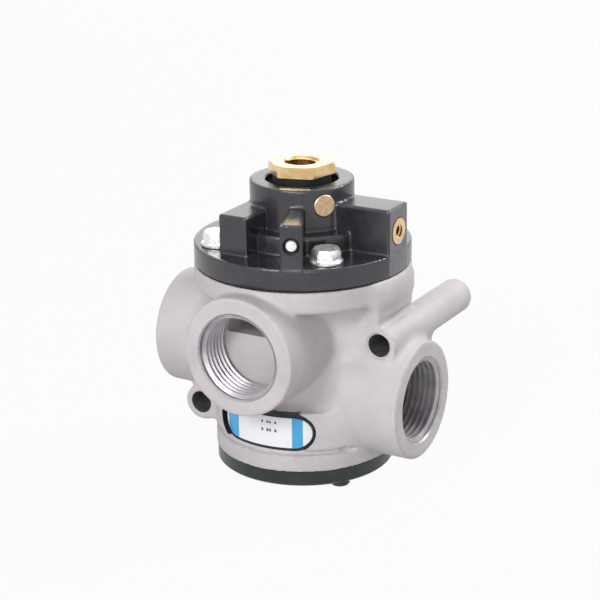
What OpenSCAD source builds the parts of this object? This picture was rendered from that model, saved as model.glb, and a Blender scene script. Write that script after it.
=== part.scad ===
// Pilot-operated 3/2 poppet valve with three pipe ports and a spring return.
// Millimetres. +Z is the spindle axis, and z = 0 is the underside of the bottom cap.
// The exhaust port faces -Y, the inlet +X and the outlet -X.
// Azimuths are counted from -Y towards +X.

/* [Body] */
// Radius of the body's base
base_r = 35.1; // [34:0.1:44]
// Height of the base
base_h = 24; // [23:0.5:28]
// Radius of the column between base and drum
column_r = 28.5; // [28:0.1:29.5]
// Thickness of the bottom flange
flange_t = 6.8; // [4:0.1:9]
// Depth of the groove above the flange
flange_groove = 2; // [0.4:0.1:2.4]
// Height of the groove above the flange
flange_groove_h = 2.2; // [1:0.1:3]
// Radius of the drum that carries the cover
drum_r = 42; // [40:0.5:54]
// Height of that drum
drum_h = 9; // [8.5:0.5:12]
// Height of the shoulder that joins the drum to the high tube's web
shoulder_h = 5.5; // [3:0.5:8]
// Radius of the coves at the column's two ends
cove_r = 6; // [3:0.5:7]

/* [Ports] */
// Outside radius of a port boss
boss_r = 23; // [20:0.5:28]
// Bore radius of a port, at the root of its G1 thread
port_r = 16.6; // [13:0.1:18]
// Depth of the threaded bore
port_depth = 17; // [12:0.5:18]
// Width of the lead-in chamfer at a port's mouth
port_chamfer = 0.6; // [0.2:0.1:1.5]
// Distance from the spindle axis to the inlet face
inlet_reach = 52; // [50:0.5:64]
// Distance from the spindle axis to the outlet face
outlet_reach = 55; // [50:0.5:68]
// Distance from the spindle axis to the exhaust face
exhaust_reach = 49.6; // [49:0.1:62]
// Height of the inlet axis above the body's bottom face
inlet_rise = 25.5; // [24:0.5:30]
// Height of the outlet axis above the body's bottom face
outlet_rise = 39.3; // [34:0.1:42]
// Height of the exhaust axis above the body's bottom face
exhaust_rise = 50; // [46:0.5:54]
// Height of the exhaust passage's sill above the exhaust axis
exhaust_sill = 2.8; // [0:0.1:5]

/* [Mounting tubes] */
// Outside radius of a mounting tube
tube_r = 6.95; // [6:0.05:9]
// Radius of the bolt hole in a mounting tube
tube_hole_r = 4.5; // [3.3:0.1:5.5]
// Distance of the tubes from the spindle axis
tube_x = 40.25; // [39:0.25:48]
// Front end of the tubes, ahead of the spindle axis
tube_front = 13.9; // [10:0.1:20]
// Rear end of the tubes, behind the spindle axis: the mounting plane
tube_rear = 53; // [44:0.5:64]
// Height of the tube on the inlet side above the body's bottom face
high_tube_rise = 50.1; // [48:0.1:53]
// Height of the tube on the outlet side above the body's bottom face
low_tube_rise = 12; // [9:0.1:16]
// Thickness of the rib under the high tube
rib_t = 9; // [5:0.5:12]
// Rear end of that rib, behind the spindle axis
rib_rear = 23; // [16:0.5:26]

/* [Valve gear] */
// Stroke of the spindle
lift = 5; // [3:0.25:6]
// Radius of the hole in each seat
seat_r = 13; // [10:0.25:14]
// Width of the raised seat rim
rim_w = 1.6; // [1:0.1:2]
// Height of the raised seat rim
rim_h = 0.8; // [0.4:0.1:1.2]
// Thickness of the walls that carry the seats
divider_t = 4; // [3:0.25:6]
// Height of the inlet chamber, up to the lower seat
inlet_h = 23; // [22:0.5:28]
// Height of the outlet chamber
outlet_h = 15.5; // [13:0.5:20]
// Radius of the outlet and exhaust chambers
chamber_r = 21; // [20:0.25:22]
// Thickness of a poppet
poppet_t = 4; // [3.6:0.1:6]
// Margin of a poppet outside its seat rim
poppet_margin = 2.4; // [1.6:0.1:3.5]
// Free height above the raised upper poppet
exhaust_room = 4.5; // [4:0.25:8]
// Radius of the spindle between the poppets
stem_r = 6; // [5.5:0.1:7]
// Radius of the spindle in its guide
guide_r = 5; // [4.5:0.1:5.3]
// Radius of the spindle's threaded ends
thread_r = 4; // [3:0.1:4.2]
// Gap that a closed poppet keeps from its seat
seat_gap = 0.05; // [0.02:0.01:0.1]

/* [Pilot piston] */
// Radius of the piston bore
piston_bore_r = 25.5; // [24.5:0.25:26]
// Thickness of the piston
piston_t = 4.6; // [4.2:0.1:7]
// Thickness of the guide plate under the piston
plate_t = 3.2; // [3:0.1:6]
// Thickness of the ring that retains the guide plate
plate_ring_t = 1.2; // [0.8:0.1:1.6]
// Gap under the piston at the end of the stroke
piston_gap = 0.4; // [0.3:0.1:2]
// Gap between the raised piston and the body's top face
piston_top_gap = 0.1; // [0.05:0.05:0.5]

/* [Bottom cap] */
// Thickness of the bottom cap
cap_t = 5.8; // [5:0.1:9]
// Height of the pad that the valve stands on, under the cap
pad_h = 2.5; // [2.5:0.1:4]
// Radius of that pad
pad_r = 24; // [18:0.5:25]
// Radius of the bottom cap
cap_r = 34.8; // [33:0.1:43]
// Radius of the bottom cap's spigot bore in the body
cap_bore_r = 26; // [25:0.25:27]
// Height of the cap's spigot inside the body
spigot_h = 7; // [6:0.5:8]
// Depth of the spring pocket into the cap's plate
spring_pocket = 2; // [1:0.25:3]
// Pitch radius of the cap screws
cap_screw_pitch = 30; // [29.5:0.1:31]
// Azimuth of the cap screws from the front and rear
cap_screw_az = 56; // [40:1:60]

/* [Return spring] */
// Mean radius of the return spring
spring_r = 14; // [13.2:0.1:14.6]
// Wire diameter of the return spring
spring_wire = 2.2; // [1.6:0.1:2.6]
// Number of turns of the return spring
spring_turns = 5; // [4:0.5:6]

/* [Pilot cover] */
// Radius of the cover's disc
cover_r = 41.9; // [40:0.1:54]
// Thickness of the cover's disc
cover_t = 8.4; // [7:0.1:12]
// Thickness of the cover gasket
gasket_t = 0.5; // [0.3:0.1:1.5]
// Radius of the cover's raised drum
crown_r = 26; // [24:0.1:27]
// Height of the raised drum above the disc
crown_h = 7.3; // [6:0.1:12]
// Radius of the hub around the pilot fitting
hub_r = 20; // [19:0.1:24]
// Height of the hub above the raised drum
hub_h = 16.5; // [15:0.1:20]
// Pitch radius of the cover screws
cover_screw_pitch = 33.5; // [32.8:0.1:36]
// Depth of the pilot chamber in the cover's underside
pilot_chamber = 3; // [2.6:0.1:4]

/* [Cover arms] */
// Width of the side port's arm
side_arm_w = 15; // [14:0.5:20]
// Distance from the spindle axis to the side port's face
side_reach = 41.4; // [38:0.1:53]
// Height of the side arm above the disc
side_arm_h = 17.6; // [16:0.1:20]
// Height of the side port above the disc
side_port_rise = 8.1; // [7.5:0.1:10]
// Width of the front block
front_block_w = 12.4; // [8:0.1:14]
// Sideways place of the front block
front_block_x = -10.9; // [-13:0.05:-10]
// Distance from the spindle axis to the front block's face
front_block_reach = 33; // [30:0.5:36]
// Height of the front block above the disc
front_block_h = 15.3; // [14:0.1:18]
// Azimuth of the override lug
lug_az = 24.3; // [20:0.1:26]
// Width of the override lug at the rim
lug_w = 8.6; // [8:0.1:10]
// Width of the override lug at the hub
lug_root_w = 4; // [3:0.1:8]
// Height of the override lug above the disc
lug_h = 17; // [14:0.1:18]
// Height of the override pin above the disc
override_rise = 8.9; // [8.5:0.1:9.5]

/* [Fittings] */
// Width across the flats of the pilot fitting
fitting_flats = 23; // [20:0.5:24]
// Turn of the pilot fitting about the spindle axis
fitting_turn = 17; // [0:1:60]
// Height of the fitting above the hub
fitting_rise = 6.5; // [5:0.1:8]
// Height of the fitting's hexagon
fitting_hex_h = 4.3; // [3:0.1:4.9]
// Depth of the pocket around the fitting
pocket_depth = 5; // [4:0.1:6]
// Radial room around the fitting's corners
pocket_room = 0.7; // [0.3:0.1:1]
// Bore radius of the pilot port, at the root of its G1/4 thread
pilot_r = 6.55; // [4.8:0.05:7]
// Depth of the pilot port
pilot_depth = 12; // [8:0.5:12]
// Width of the hexagon's seat outside the fitting's shank
fitting_seat_w = 2; // [1.6:0.1:2.4]
// Outside radius of the side port's insert
insert_r = 5; // [4.5:0.05:6.5]
// Length of the side port's insert
insert_l = 8; // [6:0.5:10]
// Bore radius of the side port, at the root of its M5 thread
side_port_r = 2.5; // [2:0.1:3]
// Radius of the passage plug
plug_r = 4.2; // [3:0.1:4.3]
// Azimuth of the passage plug
plug_az = 54.4; // [50:0.1:56]
// Depth of the passage plug in the hub
plug_depth = 4; // [3:0.1:4.5]

/* [Override pin] */
// Radius of the override pin
pin_r = 2.2; // [1.6:0.1:2.4]
// Length of the override pin
pin_l = 11; // [9:0.5:12]
// Travel of the override pin
pin_travel = 2; // [1:0.25:3]
// Depth of the pin's outer end below the lug's face
pin_recess = 0.8; // [0.2:0.1:1.5]

/* [Label] */
// Height of the label
label_h = 12.2; // [8:0.1:13]
// Width of the label across the front
label_w = 38; // [30:0.5:44]
// Thickness of the label
label_t = 0.4; // [0.3:0.05:0.8]
// Depth of the recess around the label
label_recess = 2.2; // [1:0.1:2.6]
// Bare margin of the recess around the label
label_margin = 2; // [0.3:0.1:2.5]
// Distance of the label's middle below the middle of its recess
label_drop = 0.8; // [0:0.1:1.2]
// Height of the label's middle above the body's bottom face
label_rise = 15.4; // [14:0.1:18]

/* [Clearances] */
// Radial gap of a fixed piece in its hole
fit_gap = 0.05; // [0.02:0.01:0.15]
// Radial gap of a running fit
run_gap = 0.04; // [0.02:0.01:0.1]
// Radial gap around the pilot piston's metal
piston_clear = 0.3; // [0.2:0.05:0.5]
// Radial gap around a screw in a clearance hole
screw_clear = 0.25; // [0.15:0.05:0.5]

/* [Hidden] */
$fn = 64;

// Colours
cast_grey = [0.72, 0.69, 0.68];
moulded_black = [0.14, 0.14, 0.16];
brass = [0.78, 0.62, 0.32];
bronze = [0.62, 0.45, 0.25];
steel = [0.75, 0.75, 0.76];
rubber = [0.07, 0.07, 0.07];
aluminium = [0.8, 0.8, 0.82];

// Heights of the stack, from the bottom cap up
cut = 1;
body_z = pad_h + cap_t;
lower_seat_z = body_z + inlet_h;
outlet_floor_z = lower_seat_z + divider_t;
outlet_roof_z = outlet_floor_z + outlet_h;
upper_seat_z = outlet_roof_z + divider_t;
exhaust_h = lift + poppet_t + exhaust_room;
plate_z = upper_seat_z + exhaust_h;
piston_z = plate_z + plate_t + plate_ring_t + piston_gap + lift;
body_top_z = piston_z + piston_t + piston_top_gap;
cover_z = body_top_z + gasket_t;
disc_z = cover_z + cover_t;
crown_z = disc_z + crown_h;
hub_z = crown_z + hub_h;
drum_z = body_top_z - drum_h;
inlet_z = body_z + inlet_rise;
outlet_z = body_z + outlet_rise;
exhaust_z = body_z + exhaust_rise;
high_tube_z = body_z + high_tube_rise;
low_tube_z = body_z + low_tube_rise;

// Casting details
web_h = 2 * tube_r - 1.4;
web_inner_x = column_r / 2;
cored_r = port_r - 1.4;
passage_margin = 1.5;
inlet_chamber_r = cap_bore_r - 2;
label_z = body_z + label_rise;
label_face_r = base_r - label_recess;

// Poppets: rim, rubber facing and carrier
rim_r = seat_r + rim_w;
facing_in_r = seat_r - 1.6;
facing_out_r = rim_r + 1.5;
facing_t = 2.3;
carrier_r = rim_r + poppet_margin;
lower_poppet_z = lower_seat_z - seat_gap - poppet_t;
upper_poppet_z = upper_seat_z + lift + seat_gap;
spring_boss_r = spring_r - spring_wire / 2 - 1.5;
spring_boss_h = 1.5;
spring_floor_z = body_z - spring_pocket;
spring_top_z = lower_poppet_z;
spring_end = 0.3 * spring_wire;
closed_pitch = 1.06 * spring_wire;
clip_t = 1;
clip_r = guide_r + 3;
clip_neck_r = guide_r - 0.6;
clip_z = upper_poppet_z + poppet_t - clip_t - 0.2;

// Nuts
nut_flats = 3.25 * thread_r;
nut_h = 5;
lower_nut_z = lower_poppet_z - spring_boss_h - nut_h;
stem_end = 1;
nut_recess_h = 3;
nut_recess_r = nut_flats / 2 / cos(30) + 2.5;
piston_nut_z = piston_z + piston_t - nut_recess_h;

// Guide plate
plate_r = piston_bore_r - 0.1;
plate_hub_r = 11;
plate_hub_drop = exhaust_room - 1;
bush_r = guide_r + 2.5;
stem_seal_r = guide_r + 3.6;
stem_seal_h = 2.2;
stem_seal_pocket_h = 2.5;
plate_groove_r = plate_r - 1.7;
plate_groove_h = 1.6;
plate_groove_z = plate_z + 0.8;
plate_ring_z = plate_z + plate_t;
plate_ring_out_r = piston_bore_r + 1.2;
plate_ring_in_r = piston_bore_r - 2;

// Piston
piston_r = piston_bore_r - piston_clear;
piston_groove_r = piston_r - 2.5;
piston_groove_h = 2.4;
piston_groove_z = piston_z + (piston_t - piston_groove_h) / 2;
relief_in_r = nut_recess_r + 1;
relief_out_r = piston_groove_r - 2;
relief_h = 1.5;

// Bottom cap
spigot_r = cap_bore_r - 0.1;
spring_pocket_r = spring_r + spring_wire / 2 + 1.4;
cap_groove_r = spigot_r - 1.9;
cap_groove_h = 2.6;
cap_groove_z = body_z + (spigot_h - cap_groove_h) / 2;
m4_r = 2;
m4_head_r = 3.8;
m4_head_h = 2.4;
m4_depth = 9;

// Cover
m6_r = 3;
m6_flats = 10;
m6_head_h = 4;
washer_r = 6.3;
washer_t = 1.5;
m6_depth = 7;
slot_w = 1.6;
slot_d = 1.9;
edge = 0.6;
pilot_chamber_r = piston_bore_r - 1;
well_r = 9;
well_z = cover_z + 5.2;
fitting_corner_r = fitting_flats / 2 / cos(30);
pocket_r = fitting_corner_r + pocket_room;
pocket_z = hub_z - pocket_depth;
fitting_top_z = hub_z + fitting_rise;
fitting_z = fitting_top_z - fitting_hex_h;
fitting_seal_t = fitting_z - pocket_z;
shank_r = fitting_flats / 2 - fitting_seat_w;
drill_r = 3;
side_drill_r = 1.5;
side_z = disc_z + side_port_rise;
shank_z = side_z + side_drill_r + 0.5;
shank_l = pocket_z - shank_z;
override_z = disc_z + override_rise;
pin_out = cover_r - pin_recess;
pin_in = pin_out - pin_l;
pin_bore_r = pin_r + run_gap;
pin_room = 0.5;
pin_groove_r = pin_r - 0.8;
pin_groove_w = 1.2;
pin_groove_out = pin_out - pin_l / 2;
plug_z = pocket_z - 1.3;
plug_proud = 0.4;

// Ring of rectangular section, from radius r1 to r2
module ring(r1, r2, h) {
  difference() {
    cylinder(r = r2, h = h);
    translate([0, 0, -cut]) cylinder(r = r1, h = h + 2 * cut);
  }
}

// Rubber ring whose section is a rounded rectangle
module soft_ring(r1, r2, h, corner = 0.4) {
  rotate_extrude() {
    translate([r1, corner]) square([r2 - r1, h - 2 * corner]);
    translate([r1 + corner, 0]) square([r2 - r1 - 2 * corner, h]);
    for (x = [r1 + corner, r2 - corner], y = [corner, h - corner])
      translate([x, y]) circle(r = corner);
  }
}

// Disc with a chamfer around its top edge
module chamfered_disc(r, h, c = edge) {
  rotate_extrude() polygon([[0, 0], [r, 0], [r, h - c], [r - c, h], [0, h]]);
}

// Turns its children from +Z to point outwards at an azimuth
module outward(az) {
  rotate([0, 0, az]) rotate([90, 0, 0]) children();
}

// Puts its children at each azimuth on a pitch circle
module at_azimuths(list, pitch) {
  for (az = list) rotate([0, 0, az]) translate([0, -pitch, 0]) children();
}

// The three ports as [azimuth, reach, height]
ports = [[0, exhaust_reach, exhaust_z], [90, inlet_reach, inlet_z], [-90, outlet_reach, outlet_z]];
cap_screw_azimuths = [-cap_screw_az, cap_screw_az, 180 - cap_screw_az, 180 + cap_screw_az];
cover_screw_azimuths = [45, 135, 225, 315];

module hexagon_prism(flats, h) {
  cylinder(r = flats / 2 / cos(30), h = h, $fn = 6);
}

module nut() {
  difference() {
    hexagon_prism(nut_flats, nut_h);
    translate([0, 0, -cut]) cylinder(r = thread_r + fit_gap, h = nut_h + 2 * cut);
  }
}

// Screw with its head's underside at z = 0 and its shank pointing down
module slotted_screw(r, length, head_r, head_h) {
  difference() {
    union() {
      chamfered_disc(head_r, head_h);
      translate([0, 0, -length]) cylinder(r = r - fit_gap, h = length + head_h / 2);
    }
    translate([-head_r - cut, -slot_w / 2, head_h - slot_d]) cube([2 * (head_r + cut), slot_w, slot_d + cut]);
  }
}

// ---- Body ----

// Concave fillet around the column, with its flat side down at z = 0
module cove() {
  rotate_extrude() difference() {
    translate([column_r - cut, 0]) square([cove_r + cut, cove_r]);
    translate([column_r + cove_r, cove_r]) circle(r = cove_r);
  }
}

// Tube along Y, and the web that joins it to the wall from height z - web_h / 2 up to web_top
module mounting_tube(side, z, web_top) {
  translate([side * tube_x, tube_rear, z]) rotate([90, 0, 0]) cylinder(r = tube_r, h = tube_rear + tube_front);
  translate([side > 0 ? web_inner_x : -tube_x, -tube_front, z - web_h / 2])
    cube([tube_x - web_inner_x, 2 * tube_front, web_top - z + web_h / 2]);
}

// Part of the drum's outline that reaches down to the high tube's web
module shoulder() {
  intersection() {
    translate([0, 0, drum_z - shoulder_h]) cylinder(r = drum_r, h = shoulder_h + cut);
    translate([web_inner_x, -tube_front, 0]) cube([drum_r, 2 * tube_front, body_top_z]);
  }
}

// The three port bosses, milled off level with the body's top face where they reach it
module port_bosses() {
  reach = max(exhaust_reach, inlet_reach, outlet_reach) + cut;
  intersection() {
    union() {
      for (p = ports) translate([0, 0, p[2]]) outward(p[0]) cylinder(r = boss_r, h = p[1]);
    }
    cylinder(r = reach + boss_r, h = body_top_z);
  }
}

module casting() {
  difference() {
    translate([0, 0, body_z]) cylinder(r = base_r, h = base_h);
    translate([0, 0, body_z + flange_t]) ring(base_r - flange_groove, base_r + cut, flange_groove_h);
  }
  translate([0, 0, body_z + base_h]) cove();
  translate([0, 0, body_z + base_h - cut]) cylinder(r = column_r, h = drum_z - body_z - base_h + 2 * cut);
  translate([0, 0, drum_z]) mirror([0, 0, 1]) cove();
  translate([0, 0, drum_z]) cylinder(r = drum_r, h = drum_h);
  port_bosses();
  mounting_tube(1, high_tube_z, drum_z + cut);
  shoulder();
  mounting_tube(-1, low_tube_z, low_tube_z + web_h / 2);
  translate([tube_x - rib_t / 2, -tube_front, inlet_z]) cube([rib_t, tube_front + rib_rear, high_tube_z - inlet_z]);
}

// Threaded bore with a lead-in, seen from the spindle axis outwards
module port_bore(reach) {
  translate([0, 0, reach - port_depth]) cylinder(r = port_r, h = port_depth + cut);
  translate([0, 0, reach - port_chamfer]) cylinder(r1 = port_r, r2 = port_r + 2 * port_chamfer, h = 2 * port_chamfer);
}

// Cored passage from a bore into its chamber, kept between two heights
module passage(port, z1, z2) {
  intersection() {
    translate([0, 0, port[2]]) outward(port[0]) translate([0, 0, seat_r])
      cylinder(r = cored_r, h = port[1] - port_depth - seat_r + 0.5);
    translate([-drum_r, -drum_r, z1]) cube([2 * drum_r, 2 * drum_r, z2 - z1]);
  }
}

module chambers() {
  translate([0, 0, body_z - cut]) cylinder(r = cap_bore_r, h = spigot_h + 1 + cut);
  difference() {
    translate([0, 0, body_z]) cylinder(r = inlet_chamber_r, h = inlet_h + rim_h);
    translate([0, 0, lower_seat_z]) ring(seat_r, rim_r, rim_h + cut);
  }
  translate([0, 0, body_z + spigot_h]) cylinder(r = seat_r, h = plate_z - body_z - spigot_h);
  translate([0, 0, outlet_floor_z]) cylinder(r = chamber_r, h = outlet_h);
  difference() {
    translate([0, 0, upper_seat_z - rim_h]) cylinder(r = chamber_r, h = exhaust_h + rim_h + cut);
    translate([0, 0, upper_seat_z - rim_h - cut]) ring(seat_r, rim_r, rim_h + cut);
  }
  translate([0, 0, plate_z]) cylinder(r = piston_bore_r, h = body_top_z - plate_z + cut);
}

// Rounded slot outline of the label, as seen from the front
module label_outline(grow) {
  h = label_h + 2 * grow;
  w = label_w + 2 * grow;
  square([w - h, h], center = true);
  for (side = [-1, 1]) translate([side * (w - h) / 2, 0]) circle(d = h);
}

module label_band(r1, r2, grow, z) {
  intersection() {
    translate([0, 0, z]) rotate([90, 0, 0]) linear_extrude(base_r + 5) label_outline(grow);
    translate([0, 0, z - label_h]) ring(r1, r2, 2 * label_h);
  }
}

module body() {
  color(cast_grey) difference() {
    casting();
    chambers();
    for (p = ports) translate([0, 0, p[2]]) outward(p[0]) port_bore(p[1]);
    passage(ports[0], exhaust_z + exhaust_sill, plate_z - passage_margin);
    passage(ports[1], body_z + spigot_h + 2 * passage_margin, lower_seat_z - passage_margin);
    passage(ports[2], outlet_floor_z, outlet_roof_z);
    for (tube = [[tube_x, high_tube_z], [-tube_x, low_tube_z]])
      translate([tube[0], tube_rear + cut, tube[1]]) rotate([90, 0, 0])
        cylinder(r = tube_hole_r, h = tube_rear + tube_front + 2 * cut);
    at_azimuths(cover_screw_azimuths, cover_screw_pitch)
      translate([0, 0, body_top_z - m6_depth - 1]) cylinder(r = m6_r, h = m6_depth + 1 + cut);
    at_azimuths(cap_screw_azimuths, cap_screw_pitch)
      translate([0, 0, body_z - cut]) cylinder(r = m4_r, h = m4_depth + cut);
    translate([0, 0, plate_ring_z]) cylinder(r = plate_ring_out_r + fit_gap, h = plate_ring_t + fit_gap);
    label_band(label_face_r, base_r + 4, label_margin, label_z + label_drop);
  }
}

module label_plate() {
  color("white") label_band(label_face_r + fit_gap, label_face_r + fit_gap + label_t, 0, label_z);
}

// ---- Bottom cap ----

module bottom_cap() {
  color(moulded_black) difference() {
    union() {
      translate([0, 0, body_z]) rotate([180, 0, 0]) chamfered_disc(cap_r, cap_t);
      rotate([180, 0, 0]) translate([0, 0, -pad_h - cut]) chamfered_disc(pad_r, pad_h + cut);
      translate([0, 0, body_z - cut]) cylinder(r = spigot_r, h = spigot_h + cut);
    }
    translate([0, 0, spring_floor_z]) cylinder(r = spring_pocket_r, h = body_z + spigot_h);
    translate([0, 0, cap_groove_z]) ring(cap_groove_r, spigot_r + cut, cap_groove_h);
    at_azimuths(cap_screw_azimuths, cap_screw_pitch)
      translate([0, 0, -cut]) cylinder(r = m4_r + screw_clear, h = body_z + 2 * cut);
  }
}

module bottom_cap_seal() {
  color(rubber) translate([0, 0, cap_groove_z + 0.1])
    soft_ring(cap_groove_r + fit_gap, cap_bore_r - fit_gap, cap_groove_h - 0.2);
}

module bottom_cap_screws() {
  color(steel) at_azimuths(cap_screw_azimuths, cap_screw_pitch)
    translate([0, 0, pad_h]) rotate([180, 0, 0]) slotted_screw(m4_r, cap_t + m4_depth - 1.5, m4_head_r, m4_head_h);
}

// ---- Guide plate ----

module guide_plate() {
  color(aluminium) difference() {
    union() {
      translate([0, 0, plate_z]) cylinder(r = plate_r, h = plate_t);
      translate([0, 0, plate_z - plate_hub_drop]) cylinder(r = plate_hub_r, h = plate_hub_drop + cut);
    }
    translate([0, 0, plate_z - plate_hub_drop - cut]) cylinder(r = bush_r, h = plate_hub_drop + plate_t);
    translate([0, 0, plate_z + plate_t - stem_seal_pocket_h]) cylinder(r = stem_seal_r, h = stem_seal_pocket_h + cut);
    translate([0, 0, plate_groove_z]) ring(plate_groove_r, plate_r + cut, plate_groove_h);
  }
}

module guide_plate_seal() {
  color(rubber) translate([0, 0, plate_groove_z + 0.1])
    soft_ring(plate_groove_r + fit_gap, piston_bore_r - fit_gap, plate_groove_h - 0.2);
}

// Retaining ring, open at the rear
module guide_plate_ring() {
  gap = plate_ring_in_r / 2;
  color(steel) difference() {
    translate([0, 0, plate_ring_z]) ring(plate_ring_in_r, plate_ring_out_r, plate_ring_t);
    translate([-gap / 2, 0, plate_ring_z - cut]) cube([gap, piston_bore_r + 2, plate_ring_t + 2 * cut]);
  }
}

module guide_bush() {
  bush_l = plate_hub_drop + plate_t - stem_seal_pocket_h;
  color(bronze) translate([0, 0, plate_z - plate_hub_drop]) ring(guide_r + run_gap, bush_r - fit_gap, bush_l);
}

module stem_seal() {
  color(rubber) translate([0, 0, plate_z + plate_t - stem_seal_pocket_h + 0.1])
    soft_ring(guide_r + run_gap, stem_seal_r - fit_gap, stem_seal_h);
}

// ---- Pilot cover ----

module cover_gasket() {
  color(rubber) difference() {
    translate([0, 0, body_top_z]) ring(piston_bore_r, cover_r - 0.4, gasket_t);
    at_azimuths(cover_screw_azimuths, cover_screw_pitch)
      translate([0, 0, body_top_z - cut]) cylinder(r = m6_r + screw_clear, h = gasket_t + 2 * cut);
  }
}

module override_lug() {
  intersection() {
    rotate([0, 0, lug_az]) translate([0, 0, cover_z + edge]) linear_extrude(disc_z + lug_h - cover_z - edge)
      polygon([[-lug_root_w / 2, -hub_r / 2], [-lug_w / 2, -cover_r - 2], [lug_w / 2, -cover_r - 2], [lug_root_w / 2, -hub_r / 2]]);
    translate([0, 0, cover_z]) cylinder(r = cover_r, h = hub_z - cover_z);
  }
}

module cover_solid() {
  translate([0, 0, cover_z]) chamfered_disc(cover_r, cover_t);
  translate([0, 0, cover_z]) chamfered_disc(crown_r, crown_z - cover_z, 1);
  translate([0, 0, cover_z]) chamfered_disc(hub_r, hub_z - cover_z);
  translate([0, -side_arm_w / 2, cover_z + edge]) cube([side_reach, side_arm_w, disc_z + side_arm_h - cover_z - edge]);
  translate([front_block_x - front_block_w / 2, -front_block_reach, cover_z + edge])
    cube([front_block_w, front_block_reach, disc_z + front_block_h - cover_z - edge]);
  override_lug();
}

module pilot_cover() {
  color(moulded_black) difference() {
    cover_solid();
    translate([0, 0, cover_z - cut]) cylinder(r = pilot_chamber_r, h = pilot_chamber + cut);
    translate([0, 0, cover_z]) cylinder(r = well_r, h = well_z - cover_z);
    translate([0, 0, cover_z]) cylinder(r = drill_r, h = pocket_z - cover_z);
    translate([0, 0, shank_z - 0.3]) cylinder(r = shank_r + fit_gap, h = pocket_z - shank_z + cut);
    translate([0, 0, pocket_z]) cylinder(r = pocket_r, h = pocket_depth + cut);
    at_azimuths(cover_screw_azimuths, cover_screw_pitch)
      translate([0, 0, cover_z - cut]) cylinder(r = m6_r + screw_clear, h = cover_t + 2 * cut);
    translate([0, 0, side_z]) outward(90) {
      cylinder(r = side_drill_r, h = side_reach - cut);
      translate([0, 0, side_reach - insert_l]) cylinder(r = insert_r + fit_gap, h = insert_l + cut);
    }
    translate([0, 0, override_z]) outward(lug_az) {
      cylinder(r = drill_r / 3, h = pin_in);
      translate([0, 0, pin_in - pin_travel - pin_room]) cylinder(r = pin_bore_r, h = cover_r);
    }
    translate([0, 0, plug_z]) outward(plug_az) translate([0, 0, hub_r - plug_depth])
      cylinder(r = plug_r + fit_gap, h = plug_depth + 2);
  }
}

// Hexagon screws, each made with its flange washer
module cover_screws() {
  length = cover_t + gasket_t + m6_depth;
  color(steel) at_azimuths(cover_screw_azimuths, cover_screw_pitch) translate([0, 0, disc_z]) {
    translate([0, 0, -length]) cylinder(r = m6_r - fit_gap, h = length + washer_t + m6_head_h / 2);
    cylinder(r = washer_r, h = washer_t);
    translate([0, 0, washer_t - cut / 2]) intersection() {
      hexagon_prism(m6_flats, m6_head_h + cut / 2);
      chamfered_disc(m6_flats / 2 / cos(30) - 0.1, m6_head_h + cut / 2, 0.8);
    }
  }
}

module pilot_fitting() {
  color(brass) difference() {
    union() {
      intersection() {
        translate([0, 0, fitting_z]) rotate([0, 0, fitting_turn]) hexagon_prism(fitting_flats, fitting_top_z - fitting_z);
        translate([0, 0, fitting_z]) chamfered_disc(fitting_corner_r - 0.3, fitting_top_z - fitting_z, 1);
      }
      translate([0, 0, shank_z]) cylinder(r = shank_r, h = shank_l + fitting_seal_t + cut);
    }
    translate([0, 0, fitting_top_z - pilot_depth]) cylinder(r = pilot_r, h = pilot_depth + cut);
    translate([0, 0, fitting_top_z - edge]) cylinder(r1 = pilot_r, r2 = pilot_r + 2 * edge, h = 2 * edge);
    translate([0, 0, shank_z - cut]) cylinder(r = drill_r + 1, h = fitting_top_z - shank_z);
  }
}

module fitting_seal() {
  color(rubber) translate([0, 0, pocket_z]) ring(shank_r + 2 * fit_gap, fitting_flats / 2 - 0.3, fitting_seal_t);
}

module side_port_insert() {
  color(brass) translate([0, 0, side_z]) outward(90) translate([0, 0, side_reach - insert_l + 0.1]) difference() {
    cylinder(r = insert_r, h = insert_l + 0.1);
    translate([0, 0, -cut]) cylinder(r = side_port_r, h = insert_l + 2 * cut);
  }
}

module passage_plug() {
  color(brass) translate([0, 0, plug_z]) outward(plug_az) translate([0, 0, hub_r - plug_depth + 0.1])
    chamfered_disc(plug_r, plug_depth + plug_proud, 0.3);
}

// ---- Spindle ----

module stem() {
  color(steel) difference() {
    union() {
      translate([0, 0, lower_nut_z - stem_end]) cylinder(r = thread_r, h = piston_nut_z + nut_h + 2 * stem_end - lower_nut_z);
      translate([0, 0, lower_poppet_z + poppet_t]) cylinder(r = stem_r, h = upper_poppet_z - lower_poppet_z - poppet_t);
      translate([0, 0, upper_poppet_z - cut]) cylinder(r = guide_r, h = piston_z - upper_poppet_z + cut);
    }
    translate([0, 0, clip_z - fit_gap]) ring(clip_neck_r, guide_r + cut, clip_t + 2 * fit_gap);
  }
}

module pilot_piston() {
  color(aluminium) difference() {
    translate([0, 0, piston_z]) cylinder(r = piston_r, h = piston_t);
    translate([0, 0, piston_z - cut]) cylinder(r = thread_r + fit_gap, h = piston_t + 2 * cut);
    translate([0, 0, piston_nut_z]) cylinder(r = nut_recess_r, h = nut_recess_h + cut);
    translate([0, 0, piston_groove_z]) ring(piston_groove_r, piston_r + cut, piston_groove_h);
    translate([0, 0, piston_z - cut]) ring(relief_in_r, relief_out_r, relief_h + cut);
  }
}

module piston_seal() {
  color(rubber) translate([0, 0, piston_groove_z + 0.1])
    soft_ring(piston_groove_r + fit_gap, piston_bore_r - run_gap, piston_groove_h - 0.2);
}

module piston_nut() {
  color(steel) translate([0, 0, piston_nut_z]) nut();
}

// Carrier disc with its rubber groove on top; bore is its hole's radius
module carrier(bore) {
  difference() {
    cylinder(r = carrier_r, h = poppet_t);
    translate([0, 0, -cut]) cylinder(r = bore, h = poppet_t + 2 * cut);
    translate([0, 0, poppet_t - facing_t]) ring(facing_in_r, facing_out_r, facing_t + cut);
  }
}

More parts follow.
